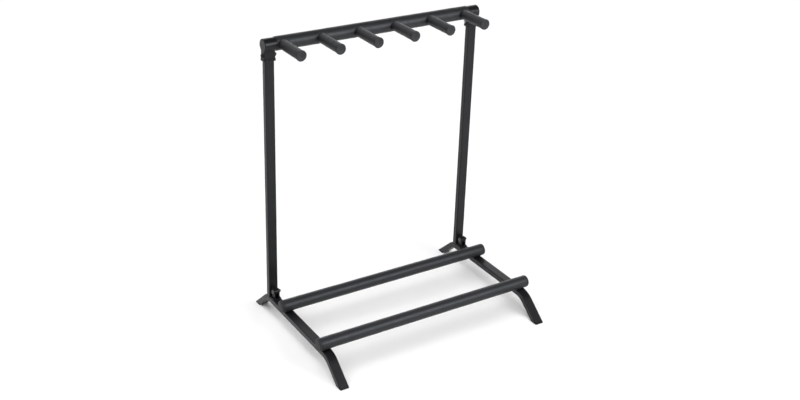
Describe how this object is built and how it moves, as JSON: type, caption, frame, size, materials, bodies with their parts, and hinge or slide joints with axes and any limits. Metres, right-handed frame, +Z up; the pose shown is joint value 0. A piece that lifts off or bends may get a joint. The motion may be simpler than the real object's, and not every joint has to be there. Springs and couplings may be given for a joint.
{
  "type": "guitar rack",
  "caption": "Folding floor rack for guitars side by side: bent tube legs, padded base bars, and a padded top bar with padded fingers that part the necks.",
  "frame": {"origin": "on the floor, midway between the two legs, and midway between the tips of the toes and of the heels", "axes": "+Z up; +X to the right as seen from the front; +Y to the back, so the fingers point along -Y"},
  "size_m": [0.535, 0.3923, 0.6452],
  "materials": {
    "frame_steel": "black powder coat, satin, finely textured",
    "foam": "matte closed-cell foam",
    "cap_plastic": "matte moulded plastic",
    "connector_plastic": "smooth satin moulded plastic",
    "fastener_steel": "dark zinc plate, brighter at the heads and the thread ends"
  },
  "bodies": {
    "base": {"leg_left": "frame_steel", "leg_right": "frame_steel", "foot_cap_front_left": "cap_plastic", "foot_cap_front_right": "cap_plastic", "foot_cap_rear_left": "cap_plastic", "foot_cap_rear_right": "cap_plastic", "base_tube_front": "frame_steel", "base_tube_rear": "frame_steel", "base_sleeve_front": "foam", "base_sleeve_rear": "foam", "base_cap_front_left": "cap_plastic", "base_cap_front_right": "cap_plastic", "base_cap_rear_left": "cap_plastic", "base_cap_rear_right": "cap_plastic", "base_bar_bolts": "fastener_steel", "base_bar_inserts": "fastener_steel", "hinge_bracket_left": "frame_steel", "hinge_bracket_right": "frame_steel", "hinge_bolts": "fastener_steel", "hinge_nuts": "fastener_steel"},
    "upper_frame": {"upright_left": "frame_steel", "upright_right": "frame_steel", "hinge_lug_left": "frame_steel", "hinge_lug_right": "frame_steel", "connector_left": "connector_plastic", "connector_right": "connector_plastic", "connector_bolts": "fastener_steel", "connector_nuts": "fastener_steel", "top_tube": "frame_steel", "top_sleeve": "foam", "finger_rod_1": "frame_steel", "finger_rod_2": "frame_steel", "finger_rod_3": "frame_steel", "finger_rod_4": "frame_steel", "finger_rod_5": "frame_steel", "finger_rod_6": "frame_steel", "finger_sleeve_1": "foam", "finger_sleeve_2": "foam", "finger_sleeve_3": "foam", "finger_sleeve_4": "foam", "finger_sleeve_5": "foam", "finger_sleeve_6": "foam", "finger_cap_1": "cap_plastic", "finger_cap_2": "cap_plastic", "finger_cap_3": "cap_plastic", "finger_cap_4": "cap_plastic", "finger_cap_5": "cap_plastic", "finger_cap_6": "cap_plastic"}
  },
  "joints": [
    {"name": "fold", "type": "hinge", "parent": "base", "child": "upper_frame", "pos_m": [0, 0.1135, 0.0665], "axis": [1, 0, 0], "range_deg": [0, 88.5]}
  ]
}
